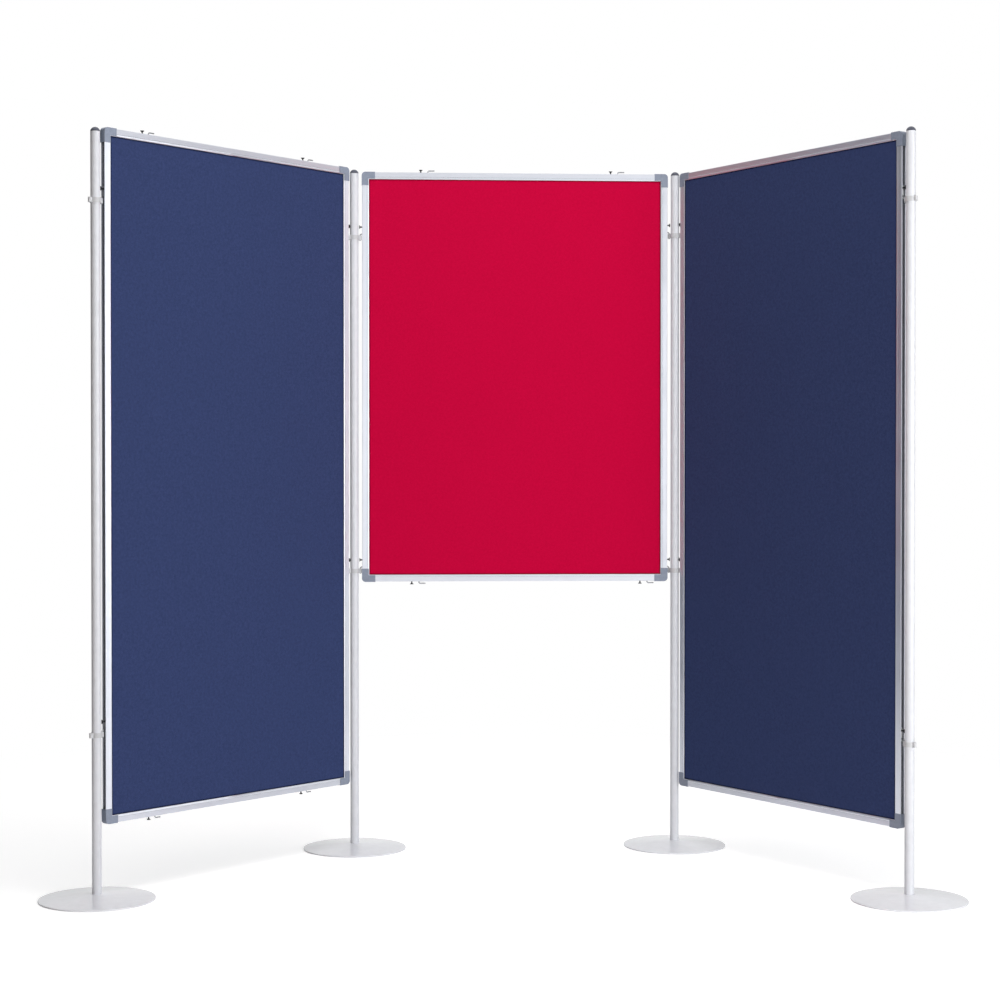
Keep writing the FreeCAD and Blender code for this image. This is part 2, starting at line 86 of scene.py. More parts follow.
# %% Measure the panels
hinge_at = {joint["name"]: Vector(joint["pos_m"]) for joint in frame["joints"]}
panel_ends = {
    "left": (hinge_at["outer_left_post_fold"], hinge_at["left_wing_fold"]),
    "centre": (hinge_at["inner_left_post_fold"], hinge_at["inner_right_post_fold"]),
    "right": (hinge_at["right_wing_fold"], hinge_at["outer_right_post_fold"]),
}
panel_turn = {}
for panel, (start, end) in panel_ends.items():
    along = end - start
    panel_turn[panel] = math.atan2(along.y, along.x)
    print(panel, "panel turned", round(math.degrees(panel_turn[panel]), 2), "degrees")

# %% [markdown]
# ## Tools for making finishes
# A finish is a small network of nodes. Making nodes one by one takes many lines, so one helper makes a node,
# sets its values and links its inputs in one go. Two short ones do sums and stretch ranges, and the last one
# starts a group: a network with named inputs and outputs that several finishes share, each with its own
# values.

# %% Helpers for nodes
def add_node(tree, kind, settings=None, **inputs):
    """Make a node. Settings are its own properties; inputs are values, or sockets to link from.

    An input goes by its name, with _ for a space, or by its number, as in i0.
    """
    made = tree.nodes.new(kind)
    for name, value in (settings or {}).items():
        setattr(made, name, value)
    for name, value in inputs.items():
        key = int(name[1:]) if name[0] == "i" and name[1:].isdigit() else name.replace("_", " ")
        socket = made.inputs[key]
        if isinstance(value, bpy.types.NodeSocket):
            tree.links.new(value, socket)
        else:
            socket.default_value = value
    return made


def maths(tree, operation, first, second=0.5, third=0.5):
    sum_node = add_node(tree, "ShaderNodeMath", {"operation": operation}, i0=first, i1=second, i2=third)
    return sum_node.outputs[0]


def spread(tree, value, low, high, to_low=0.0, to_high=1.0, kind="LINEAR"):
    """Stretch a range of values over another one."""
    return add_node(tree, "ShaderNodeMapRange", {"interpolation_type": kind}, i0=value, i1=low, i2=high,
                    i3=to_low, i4=to_high).outputs[0]


def new_group(name, inputs, outputs):
    """A shader node group. Inputs are (name, kind, start value), outputs are (name, kind)."""
    tree = bpy.data.node_groups.new(name, "ShaderNodeTree")
    for label, kind, value in inputs:
        socket = tree.interface.new_socket(label, in_out="INPUT", socket_type=kind)
        if value is not None:
            socket.default_value = value
    for label, kind in outputs:
        tree.interface.new_socket(label, in_out="OUTPUT", socket_type=kind)
    return tree, tree.nodes.new("NodeGroupInput").outputs, tree.nodes.new("NodeGroupOutput").inputs


FLOAT, VECTOR = "NodeSocketFloat", "NodeSocketVector"
print("helpers ready")

# %% [markdown]
# ## Rounded edges
# No real edge is perfectly sharp: a thin line along it catches the light. The edges could be cut round in the
# mesh, but the solids stay as they are, so the Bevel node bends the surface's normal near an edge instead.
# Where the bent normal differs from the true one there is an edge, and that gives a mask for the light wear
# that handling leaves there.

# %% Group: soft edge
EDGE_STARTS, EDGE_FULL = 0.985, 0.80

soft_edge, given, result = new_group("soft_edge", [("Radius", FLOAT, 0.0005)],
                                     [("Normal", VECTOR), ("Edge", FLOAT)])
rounded = add_node(soft_edge, "ShaderNodeBevel", {"samples": 6}, Radius=given["Radius"]).outputs[0]
true_normal = add_node(soft_edge, "ShaderNodeNewGeometry").outputs["True Normal"]
agree = add_node(soft_edge, "ShaderNodeVectorMath", {"operation": "DOT_PRODUCT"}, i0=rounded, i1=true_normal)
soft_edge.links.new(rounded, result["Normal"])
soft_edge.links.new(spread(soft_edge, agree.outputs["Value"], EDGE_STARTS, EDGE_FULL), result["Edge"])
print("group:", soft_edge.name)

# %% [markdown]
# ## Grain and smudges
# Moulded plastic and powder coat have a fine grain that breaks up highlights, and hands leave faint smudges
# that change the gloss in patches. Both are noise at very different sizes: the grain is about a millimetre,
# the smudges are as large as a hand. A mottle between the two shifts the tone.

# %% Group: fine grain
NOISE_LOW, NOISE_HIGH = 0.3, 0.7
SMUDGE_LOW, SMUDGE_HIGH = 0.38, 0.72
MOTTLE_TO_GRAIN, HANDS_PER_METRE = 0.12, 7.0

fine_grain, given, result = new_group("fine_grain", [("Vector", VECTOR, None), ("Scale", FLOAT, 900.0)],
                                      [("Height", FLOAT), ("Mottle", FLOAT), ("Smudge", FLOAT)])
bumps = add_node(fine_grain, "ShaderNodeTexNoise", Vector=given["Vector"], Scale=given["Scale"], Detail=2.0)
coarse = maths(fine_grain, "MULTIPLY", given["Scale"], MOTTLE_TO_GRAIN)
mottle = add_node(fine_grain, "ShaderNodeTexNoise", Vector=given["Vector"], Scale=coarse, Detail=3.0)
smudge = add_node(fine_grain, "ShaderNodeTexNoise", Vector=given["Vector"], Scale=HANDS_PER_METRE, Detail=4.0,
                  Distortion=0.8)
patches = spread(fine_grain, smudge.outputs[0], SMUDGE_LOW, SMUDGE_HIGH, kind="SMOOTHSTEP")
fine_grain.links.new(bumps.outputs[0], result["Height"])
fine_grain.links.new(spread(fine_grain, mottle.outputs[0], NOISE_LOW, NOISE_HIGH), result["Mottle"])
fine_grain.links.new(patches, result["Smudge"])
print("group:", fine_grain.name)

# %% [markdown]
# ## Drawn lines
# An aluminium extrusion is pushed through a die, which leaves fine lines along its whole length, and
# anodising keeps them as a satin sheen. Noise that is stretched hundreds of times along one axis gives such
# lines. The stretch is an input, because rails run across a panel and stiles run up it.

# %% Group: drawn lines
BAND_LOW, BAND_HIGH = 0.35, 0.65

drawn_lines, given, result = new_group("drawn_lines",
                                       [("Vector", VECTOR, None), ("Stretch", VECTOR, (1, 1, 1))],
                                       [("Lines", FLOAT), ("Bands", FLOAT)])
pulled = add_node(drawn_lines, "ShaderNodeVectorMath", {"operation": "MULTIPLY"},
                  i0=given["Vector"], i1=given["Stretch"]).outputs[0]
lines = add_node(drawn_lines, "ShaderNodeTexNoise", Vector=pulled, Scale=2200.0, Detail=3.0, Roughness=0.65)
bands = add_node(drawn_lines, "ShaderNodeTexNoise", Vector=pulled, Scale=260.0, Detail=2.0)
drawn_lines.links.new(spread(drawn_lines, lines.outputs[0], NOISE_LOW, NOISE_HIGH), result["Lines"])
drawn_lines.links.new(spread(drawn_lines, bands.outputs[0], BAND_LOW, BAND_HIGH), result["Bands"])
print("group:", drawn_lines.name)

# %% [markdown]
# ## Painted shade in recesses
# Deep in a channel or a narrow gap little light gets in, and here that shade is painted: the metal's colour is
# made dark there. How closed-in a point is can be measured by looking a short way round it, which the Ambient
# Occlusion node does. The group turns that into a mask, from 0 in the open to 1 in the deepest spots.

# %% Group: painted shade in recesses
OPEN_FROM, DEEP_FROM = 0.62, 0.18

painted_recess_shade, given, result = new_group("painted_recess_shade", [("Reach", FLOAT, 0.015)], [("Mask", FLOAT)])
open_share = add_node(painted_recess_shade, "ShaderNodeAmbientOcclusion", {"samples": 6, "only_local": True},
                      Distance=given["Reach"]).outputs["AO"]
painted_recess_shade.links.new(spread(painted_recess_shade, open_share, OPEN_FROM, DEEP_FROM, kind="SMOOTHSTEP"), result["Mask"])
print("group:", painted_recess_shade.name)

# %% [markdown]
# ## Felt fibres
# Needled felt is a mat of fibres that lie every way. Noise with strong distortion curls into threads, and two
# such layers at different sizes cross like fibres do. A few lighter fibres lie on top, and the mat is thicker
# and thinner in soft patches a few millimetres wide.

# %% Group: felt fibres
THREAD_SHARE, FINER_SHARE = 0.6, 0.4
FLECK_LOW, FLECK_HIGH = 0.51, 0.62

felt_fibres, given, result = new_group("felt_fibres", [("Vector", VECTOR, None)],
                                       [("Height", FLOAT), ("Fleck", FLOAT), ("Mottle", FLOAT)])
threads = add_node(felt_fibres, "ShaderNodeTexNoise", Vector=given["Vector"], Scale=420.0, Detail=3.0,
                   Roughness=0.7, Distortion=3.0).outputs[0]
crossing = add_node(felt_fibres, "ShaderNodeMapping", Vector=given["Vector"], Rotation=(0.7, 0.4, 1.1))
finer = add_node(felt_fibres, "ShaderNodeTexNoise", Vector=crossing.outputs[0], Scale=950.0, Detail=2.0,
                 Distortion=2.2).outputs[0]
mat = add_node(felt_fibres, "ShaderNodeTexNoise", Vector=given["Vector"], Scale=150.0, Detail=4.0).outputs[0]
finer_part = maths(felt_fibres, "MULTIPLY", finer, FINER_SHARE)
height = maths(felt_fibres, "MULTIPLY_ADD", threads, THREAD_SHARE, finer_part)
fleck = spread(felt_fibres, height, FLECK_LOW, FLECK_HIGH, kind="SMOOTHSTEP")
felt_fibres.links.new(height, result["Height"])
felt_fibres.links.new(fleck, result["Fleck"])
felt_fibres.links.new(spread(felt_fibres, mat, NOISE_LOW, NOISE_HIGH), result["Mottle"])
print("group:", felt_fibres.name)

# %% [markdown]
# ## Starting a finish
# Every finish begins in the same way: a material with one main shader, and the place of each point on the
# object. Values that are the same all over are typed into the shader itself; only what changes over the
# surface is linked.

# %% Helpers for finishes
def new_finish(name, **shader):
    """A material with its main shader, and the object's own coordinates."""
    made = bpy.data.materials.new(name)
    made.use_nodes = True
    tree = made.node_tree
    main = tree.nodes["Principled BSDF"]
    for label, value in shader.items():
        main.inputs[label.replace("_", " ")].default_value = value
    place = add_node(tree, "ShaderNodeTexCoord").outputs["Object"]
    return made, tree, main, place


def use_group(tree, group, **inputs):
    return add_node(tree, "ShaderNodeGroup", {"node_tree": group}, **inputs).outputs


def blend_colours(tree, share, first, second):
    """Mix two colours, each typed in or linked. A Mix node has its colours at numbers 6 and 7."""
    mix = add_node(tree, "ShaderNodeMix", {"data_type": "RGBA"}, i0=share)
    for socket, value in ((mix.inputs[6], first), (mix.inputs[7], second)):
        if isinstance(value, bpy.types.NodeSocket):
            tree.links.new(value, socket)
        else:
            socket.default_value = (*value, 1)
    return mix.outputs[2]


def add_bump(tree, main, height, depth, strength, normal=None):
    bump = add_node(tree, "ShaderNodeBump", Height=height, Distance=depth, Strength=strength)
    if normal:
        tree.links.new(normal, bump.inputs["Normal"])
    tree.links.new(bump.outputs[0], main.inputs["Normal"])


print("ready to mix finishes")

# %% [markdown]
# ## Felt
# Felt has no gloss. Its loose fibre ends catch light at a slant, which the shader's sheen gives. The colour
# shifts between a darker tone in the thin patches and a lighter one on the fibres that lie on top. Beside the
# frame's lip the felt dips into shadow, and that shadow is painted: the sheets carry a value there that
# darkens the felt's colour.

# %% Finish: felt
# the second value is how dark the painted shade beside the frame's lip makes the felt
FLECK_STRENGTH, LIP_SHADE_TONE = 0.55, 0.45


def make_felt(name, deep, plain, light, sheen):
    made, tree, main, place = new_finish(name, Roughness=0.95, Specular_IOR_Level=0.04, Sheen_Weight=sheen,
                                         Sheen_Roughness=0.6, Sheen_Tint=(*light, 1))
    fibres = use_group(tree, felt_fibres, Vector=place)
    ground = blend_colours(tree, fibres["Mottle"], deep, plain)
    share = maths(tree, "MULTIPLY", fibres["Fleck"], FLECK_STRENGTH)
    surface = blend_colours(tree, share, ground, light)
    # painted shade: beside the frame's lip the felt's colour is darkened
    lip_shade = add_node(tree, "ShaderNodeAttribute", {"attribute_name": "lip_shade"}).outputs["Fac"]
    lip_shaded_tone = tuple(LIP_SHADE_TONE * tone for tone in deep)
    tree.links.new(blend_colours(tree, lip_shade, surface, lip_shaded_tone), main.inputs["Base Color"])
    add_bump(tree, main, fibres["Height"], depth=0.0006, strength=0.6)
    return made


blue_felt = make_felt("blue_felt", deep=(0.0275, 0.0408, 0.1097), plain=(0.0352, 0.0518, 0.1387),
                      light=(0.064, 0.088, 0.202), sheen=0.10)
red_felt = make_felt("red_felt", deep=(0.475, 0.0010, 0.034), plain=(0.529, 0.0016, 0.041),
                     light=(0.675, 0.009, 0.074), sheen=0.08)
print("felts:", blue_felt.name, red_felt.name)

# %% [markdown]
# ## Satin aluminium
# The frame is anodised aluminium: a true metal with a soft gloss. The lines along it change its gloss and
# tone a little, and they spread every reflection sideways, across the lines; that is why rails and stiles of
# one frame look differently bright. So each panel gets one finish for its rails and one for its stiles. A
# Mapping node turns the pattern to the panel, and the Tangent node gives the level direction that the spread
# is turned from.

# %% Finish: satin aluminium
LINE_DEEP, LINE_BRIGHT = (0.70, 0.722, 0.785), (0.76, 0.782, 0.845)
# the second tone is painted shade, the dark colour given to the deep parts of channels and gaps
WORN_METAL, PAINTED_CHANNEL_SHADE = (0.83, 0.84, 0.86), (0.09, 0.088, 0.09)
METAL_WEAR, CHANNEL_REACH = 0.5, 0.018
SATIN, SMUDGE_ROUGHNESS = (0.40, 0.48), 0.05
ALONG, NOT_TURNED, QUARTER_TURN = 0.002, 0.0, 0.25


def make_aluminium(name, turn, stretch, spread_turn):
    made, tree, main, place = new_finish(name, Metallic=0.95, Anisotropic=0.75,
                                         Anisotropic_Rotation=spread_turn)
    level = add_node(tree, "ShaderNodeTangent", {"direction_type": "RADIAL", "axis": "Z"}).outputs[0]
    tree.links.new(level, main.inputs["Tangent"])
    square_on = add_node(tree, "ShaderNodeMapping", Vector=place, Rotation=(0, 0, -turn)).outputs[0]
    drawn = use_group(tree, drawn_lines, Vector=square_on, Stretch=stretch)
    grain = use_group(tree, fine_grain, Vector=place, Scale=700.0)
    edge = use_group(tree, soft_edge, Radius=0.0004)
    recess_shade = use_group(tree, painted_recess_shade, Reach=CHANNEL_REACH)
    tone = blend_colours(tree, drawn["Lines"], LINE_DEEP, LINE_BRIGHT)
    tone = blend_colours(tree, maths(tree, "MULTIPLY", edge["Edge"], METAL_WEAR), tone, WORN_METAL)
    # painted shade: deep in channels and gaps the metal's colour is made dark, where shade falls
    tone = blend_colours(tree, recess_shade["Mask"], tone, PAINTED_CHANNEL_SHADE)
    tree.links.new(tone, main.inputs["Base Color"])
    gloss = spread(tree, drawn["Bands"], 0.0, 1.0, *SATIN)
    gloss = maths(tree, "MULTIPLY_ADD", grain["Smudge"], SMUDGE_ROUGHNESS, gloss)
    tree.links.new(gloss, main.inputs["Roughness"])
    add_bump(tree, main, drawn["Lines"], depth=0.00002, strength=0.5, normal=edge["Normal"])
    return made


rail_finish, stile_finish = {}, {}
for panel, turn in panel_turn.items():
    rail_finish[panel] = make_aluminium(f"{panel}_rail_aluminium", turn, (ALONG, 1.0, 1.0), QUARTER_TURN)
    stile_finish[panel] = make_aluminium(f"{panel}_stile_aluminium", turn, (1.0, 1.0, ALONG), NOT_TURNED)
print("aluminium finishes:", len(rail_finish) + len(stile_finish))

# %% [markdown]
# ## Moulded plastic and powder coat
# The corner caps, dome caps, plugs and clips are moulded; the posts and plates are powder coated. Both are a
# coloured base with a fine grain, so one recipe serves them all with other values: tone, gloss, size of the
# grain and roundness of the edges. Powder coat is a little wavy, like orange peel, so its grain is wider.

# %% Finish: moulded and coated
HANDLING_WEAR = 0.35
COAT_GRAIN, MOULD_GRAIN = 420.0, 1500.0


def make_smooth(name, deep, plain, worn, gloss, grain_scale, grain_depth, edge_radius):
    made, tree, main, place = new_finish(name)
    grain = use_group(tree, fine_grain, Vector=place, Scale=grain_scale)
    edge = use_group(tree, soft_edge, Radius=edge_radius)
    tone = blend_colours(tree, grain["Mottle"], deep, plain)
    tone = blend_colours(tree, maths(tree, "MULTIPLY", edge["Edge"], HANDLING_WEAR), tone, worn)
    tree.links.new(tone, main.inputs["Base Color"])
    tree.links.new(spread(tree, grain["Smudge"], 0.0, 1.0, *gloss), main.inputs["Roughness"])
    add_bump(tree, main, grain["Height"], grain_depth, strength=0.5, normal=edge["Normal"])
    return made


post_coat = make_smooth("post_coat", deep=(0.632, 0.648, 0.69), plain=(0.672, 0.688, 0.73),
                        worn=(0.75, 0.765, 0.80), gloss=(0.30, 0.38),
                        grain_scale=COAT_GRAIN, grain_depth=0.00006, edge_radius=0.0005)
plate_coat = make_smooth("plate_coat", deep=(0.73, 0.742, 0.785), plain=(0.77, 0.782, 0.825),
                         worn=(0.83, 0.842, 0.875), gloss=(0.13, 0.22),
                         grain_scale=COAT_GRAIN, grain_depth=0.00003, edge_radius=0.0005)
corner_plastic = make_smooth("corner_plastic", deep=(0.21, 0.24, 0.31), plain=(0.245, 0.28, 0.355),
                             worn=(0.33, 0.365, 0.44), gloss=(0.42, 0.52),
                             grain_scale=MOULD_GRAIN, grain_depth=0.00004, edge_radius=0.0007)
cap_plastic = make_smooth("cap_plastic", deep=(0.058, 0.063, 0.088), plain=(0.068, 0.073, 0.10),
                          worn=(0.12, 0.125, 0.165), gloss=(0.40, 0.50),
                          grain_scale=MOULD_GRAIN, grain_depth=0.00004, edge_radius=0.0004)
clip_plastic = make_smooth("clip_plastic", deep=(0.50, 0.51, 0.53), plain=(0.56, 0.57, 0.59),
                           worn=(0.66, 0.67, 0.69), gloss=(0.36, 0.46),
                           grain_scale=MOULD_GRAIN, grain_depth=0.00003, edge_radius=0.0003)
plug_plastic = make_smooth("plug_plastic", deep=(0.030, 0.030, 0.032), plain=(0.045, 0.045, 0.048),
                           worn=(0.09, 0.09, 0.09), gloss=(0.50, 0.60),
                           grain_scale=MOULD_GRAIN, grain_depth=0.00004, edge_radius=0.0004)
smooth_finishes = (post_coat, plate_coat, corner_plastic, cap_plastic, clip_plastic, plug_plastic)
print("smooth finishes:", [finish.name for finish in smooth_finishes])

# %% [markdown]
# ## Small metal
# The hooks are bright zinc on drawn wire, the plates and screws are plainer zinc, and the studs are
# blackened. Zinc is not even: it has small cloudy spangles. Blackened steel has none, but it shines through
# at its edges, so the smooth recipe suits the studs.

# %% Finish: small metal
def make_zinc(name, deep, plain, gloss):
    made, tree, main, place = new_finish(name, Metallic=1.0)
    cells = add_node(tree, "ShaderNodeTexVoronoi", Vector=place, Scale=900.0).outputs["Color"]
    cloud = add_node(tree, "ShaderNodeSeparateColor", i0=cells).outputs[0]
    grain = use_group(tree, fine_grain, Vector=place, Scale=1600.0)
    edge = use_group(tree, soft_edge, Radius=0.0003)
    tree.links.new(blend_colours(tree, cloud, deep, plain), main.inputs["Base Color"])
    tree.links.new(spread(tree, grain["Mottle"], 0.0, 1.0, *gloss), main.inputs["Roughness"])
    add_bump(tree, main, grain["Height"], depth=0.00002, strength=0.4, normal=edge["Normal"])
    return made


bright_wire = make_zinc("bright_wire", deep=(0.36, 0.365, 0.385), plain=(0.48, 0.485, 0.505),
                        gloss=(0.20, 0.32))
plain_steel = make_zinc("plain_steel", deep=(0.48, 0.48, 0.49), plain=(0.58, 0.58, 0.585),
                        gloss=(0.32, 0.46))
dark_stud = make_smooth("dark_stud", deep=(0.018, 0.018, 0.020), plain=(0.030, 0.030, 0.033),
                        worn=(0.12, 0.12, 0.12), gloss=(0.34, 0.46),
                        grain_scale=1800.0, grain_depth=0.00003, edge_radius=0.0003)
print("metal finishes:", bright_wire.name, plain_steel.name, dark_stud.name)

# %% [markdown]
# ## Fibreboard
# Under the felt is a light board. Only its edges could ever be seen, between felt and frame: pressed wood
# fibre, brown and speckled.

# %% Finish: fibreboard
fibreboard, tree, main, place = new_finish("fibreboard", Roughness=0.85)
chips = add_node(tree, "ShaderNodeTexVoronoi", Vector=place, Scale=650.0).outputs["Color"]
chip = add_node(tree, "ShaderNodeSeparateColor", i0=chips).outputs[0]
speckle = use_group(tree, fine_grain, Vector=place, Scale=1200.0)
tree.links.new(blend_colours(tree, chip, (0.36, 0.27, 0.18), (0.52, 0.42, 0.30)), main.inputs["Base Color"])
add_bump(tree, main, speckle["Height"], depth=0.0002, strength=0.6)
print("board finish:", fibreboard.name)

# %% [markdown]
# ## Dressing the solids
# A node's name ends with the kind of piece that it is, so a table from kind to finish dresses them all.
# Rails, stiles and felts also look at which panel they belong to.

# %% Give every solid its finish
felt_of = {"left": blue_felt, "centre": red_felt, "right": blue_felt}
finish_of = {
    "corner_caps": corner_plastic, "core_board": fibreboard, "coupling_studs": dark_stud,
    "coupling_hooks": bright_wire, "coupling_plates": plain_steel, "post_tube": post_coat,
    "post_cap": cap_plastic, "foot_plug": plug_plastic, "base_plate": plate_coat,
    "base_screw": plain_steel, "post_clips": clip_plastic,
}
for name, piece in nodes.items():
    panel = name.split("_")[0]
    if name.endswith("_rail"):
        finish = rail_finish[panel]
    elif name.endswith("_stile"):
        finish = stile_finish[panel]
    elif name.endswith("_felt"):
        finish = felt_of[panel]
    else:
        finish = next(made for kind, made in finish_of.items() if name.endswith(kind))
    piece.material_slots[0].material = finish
print("dressed", len(nodes), "solids")

# %% [markdown]
# ## The felt sheets
# Each board carries a sheet of felt on both faces. A flat plate would look like card: real felt is pressed
# down where the frame's lip grips it, rises in a soft roll beside the lip, and is never quite level. The
# shape follows a rule, so a small tree of geometry nodes makes it, with the sheet's sizes as inputs. Its grid
# has close lines near the edge, where the roll is, and wide ones in the middle.

# %% Geometry nodes: felt sheet
COLUMNS, ROWS = 65, 97
EDGE_SHARE, ZONE_ROLLS = 0.5, 1.5

sheet_tree = bpy.data.node_groups.new("felt_sheet", "GeometryNodeTree")
sheet_tree.interface.new_socket("Geometry", in_out="OUTPUT", socket_type="NodeSocketGeometry")
for label, kind in (("Width", FLOAT), ("Height", FLOAT), ("Thickness", FLOAT), ("Covered edge", FLOAT),
                    ("Press", FLOAT), ("Roll", FLOAT), ("Unevenness", FLOAT), ("Seed", FLOAT),
                    ("Finish", "NodeSocketMaterial")):
    sheet_tree.interface.new_socket(label, in_out="INPUT", socket_type=kind)
given = sheet_tree.nodes.new("NodeGroupInput").outputs


def sheet_node(kind, settings=None, **inputs):
    return add_node(sheet_tree, kind, settings, **inputs)


def sheet_maths(operation, *values):
    return maths(sheet_tree, operation, *values)


def point_places():
    """The x, y and z of each point, as the tree has it where they are read."""
    return sheet_node("ShaderNodeSeparateXYZ", i0=sheet_node("GeometryNodeInputPosition").outputs[0]).outputs


def from_middle(half, value, zone):
    """Place on the sheet for a grid line from -1 to 1: half of the lines lie in the zone along the edge."""
    away = sheet_maths("ABSOLUTE", value)
    inner = spread(sheet_tree, away, 0.0, EDGE_SHARE, 0.0, sheet_maths("SUBTRACT", half, zone))
    outer = spread(sheet_tree, away, EDGE_SHARE, 1.0, 0.0, zone)
    return sheet_maths("MULTIPLY", sheet_maths("SIGN", value), sheet_maths("ADD", inner, outer))


grid = sheet_node("GeometryNodeMeshGrid", Size_X=2.0, Size_Y=2.0, Vertices_X=COLUMNS, Vertices_Y=ROWS)
line = point_places()
half_width = sheet_maths("MULTIPLY", given["Width"], 0.5)
half_height = sheet_maths("MULTIPLY", given["Height"], 0.5)
zone = sheet_maths("MULTIPLY_ADD", given["Roll"], ZONE_ROLLS, given["Covered edge"])
across = from_middle(half_width, line["X"], zone)
upward = from_middle(half_height, line["Y"], zone)
on_sheet = sheet_node("ShaderNodeCombineXYZ", X=across, Z=upward).outputs[0]
flat = sheet_node("GeometryNodeSetPosition", Geometry=grid.outputs["Mesh"], Position=on_sheet).outputs[0]
print("grid of", COLUMNS, "by", ROWS, "lines")

# %% [markdown]
# The second half of the tree finds how far each point is from the sheet's edge, and from that how thick the
# felt is there: pressed under the lip, full beside it, with a slight unevenness in between. Extruding the
# flat grid by that thickness gives the front and the rim, and the flipped grid closes the back. A value for
# the painted shade beside the lip is kept with each point for the finish.

# %% Geometry nodes: thickness of the felt
# the second value sets how far into the roll the painted shade beside the lip stays full
WAVES_PER_METRE, FULL_LIP_SHADE, SAME_POINT = 9.0, 0.3, 0.00001

spot = point_places()
side_gap = sheet_maths("SUBTRACT", half_width, sheet_maths("ABSOLUTE", spot["X"]))
end_gap = sheet_maths("SUBTRACT", half_height, sheet_maths("ABSOLUTE", spot["Z"]))
from_edge = sheet_maths("MINIMUM", side_gap, end_gap)
roll_end = sheet_maths("ADD", given["Covered edge"], given["Roll"])
risen = spread(sheet_tree, from_edge, given["Covered edge"], roll_end, kind="SMOOTHSTEP")
pressed = sheet_maths("MULTIPLY", given["Press"], sheet_maths("SUBTRACT", 1.0, risen))
waves = sheet_node("ShaderNodeTexNoise", {"noise_dimensions": "4D"}, W=given["Seed"], Scale=WAVES_PER_METRE,
                   Detail=2.0).outputs[0]
dip = sheet_maths("MULTIPLY", sheet_maths("MULTIPLY", waves, risen), given["Unevenness"])
thick = sheet_maths("SUBTRACT", sheet_maths("SUBTRACT", given["Thickness"], pressed), dip)
front = sheet_node("GeometryNodeExtrudeMesh", {"mode": "FACES"}, Mesh=flat, Offset=(0, -1, 0),
                   Offset_Scale=thick, Individual=False).outputs
faceted = sheet_node("GeometryNodeSetShadeSmooth", Geometry=front["Mesh"], Shade_Smooth=False).outputs[0]
smooth = sheet_node("GeometryNodeSetShadeSmooth", Geometry=faceted, Selection=front["Top"],
                    Shade_Smooth=True).outputs[0]
back = sheet_node("GeometryNodeFlipFaces", Mesh=flat).outputs[0]
whole = sheet_node("GeometryNodeJoinGeometry")
sheet_tree.links.new(back, whole.inputs[0])
sheet_tree.links.new(smooth, whole.inputs[0])
closed = sheet_node("GeometryNodeMergeByDistance", Geometry=whole.outputs[0], Distance=SAME_POINT).outputs[0]
real = sheet_node("GeometryNodeRealizeInstances", Geometry=closed).outputs[0]
# painted shade beside the lip: full under the lip and just past it, fading out across the roll
lip_shade_end = sheet_maths("MULTIPLY_ADD", given["Roll"], FULL_LIP_SHADE, given["Covered edge"])
lip_shade = spread(sheet_tree, from_edge, roll_end, lip_shade_end)
marked = sheet_node("GeometryNodeStoreNamedAttribute", {"data_type": "FLOAT", "domain": "POINT"},
                    Geometry=real, Name="lip_shade", Value=lip_shade).outputs[0]
coloured = sheet_node("GeometryNodeSetMaterial", Geometry=marked, Material=given["Finish"]).outputs[0]
sheet_tree.links.new(coloured, sheet_tree.nodes.new("NodeGroupOutput").inputs[0])
print("tree:", sheet_tree.name, "with", len(sheet_tree.nodes), "nodes")

# %% [markdown]
# Now the tree runs six times. Each sheet's sizes are measured from the plain solid that it replaces, along
# the panel's own axes. The result is turned into a plain mesh, moved to its place, and told which body it
# moves with.

# %% Make the six sheets
LIP_COVER, PRESS, ROLL, UNEVENNESS = 0.0095, 0.0009, 0.005, 0.0003
SEED_STEP = 3.0

socket_of = {item.name: item.identifier for item in sheet_tree.interface.items_tree if item.in_out == "INPUT"}
turn_round = Matrix.Rotation(math.pi, 4, "Z")
for number, panel in enumerate(("left", "centre", "right")):
    for side in ("front", "back"):
        solid = f"{panel}_{side}_felt"
        low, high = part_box(solid)
        stand = Matrix.Translation((low + high) / 2) @ Matrix.Rotation(panel_turn[panel], 4, "Z")
        if side == "back":
            stand = stand @ turn_round
        local = [stand.inverted() @ vertex.co for vertex in nodes[solid].data.vertices]
        width, thickness, tall = (max(p[i] for p in local) - min(p[i] for p in local) for i in range(3))
        piece = bpy.data.objects.new(f"{panel}_{side}_felt_sheet", bpy.data.meshes.new("sheet_start"))
        scene.collection.objects.link(piece)
        modifier = piece.modifiers.new("felt_sheet", "NODES")
        modifier.node_group = sheet_tree
        values = {"Width": width, "Height": tall, "Thickness": thickness, "Covered edge": LIP_COVER,
                  "Press": PRESS, "Roll": ROLL, "Unevenness": UNEVENNESS,
                  "Seed": SEED_STEP * number + (side == "back"), "Finish": felt_of[panel]}
        for label, value in values.items():
            modifier[socket_of[label]] = value
        made = bpy.data.meshes.new_from_object(piece.evaluated_get(bpy.context.evaluated_depsgraph_get()))
        piece.modifiers.remove(modifier)
        piece.data = made
        made.transform(stand @ Matrix.Translation((0, thickness / 2, 0)))
        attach(piece, f"{panel}_panel")
        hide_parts(solid)
        size_mm = [round(x * 1000, 1) for x in (width, tall, thickness)]
        print(piece.name, size_mm, "faces:", len(made.polygons))

# %% [markdown]
# ## The floor
# The studio floor is plain and pale. Close to the posts it is ordinary white paint, lifted a little, so that
# it takes their soft shadows; further away it fades into pure white, so that no horizon shows behind the
# wall. The Light Path node keeps the lift and the white for the camera and for reflections only, so they add
# no light to the object.

# %% Make the floor
FLOOR_REACH, FLOOR_DROP = 40.0, 0.0005
FADE_START, FADE_END, NEAR_LIFT = 1.2, 3.0, 0.5


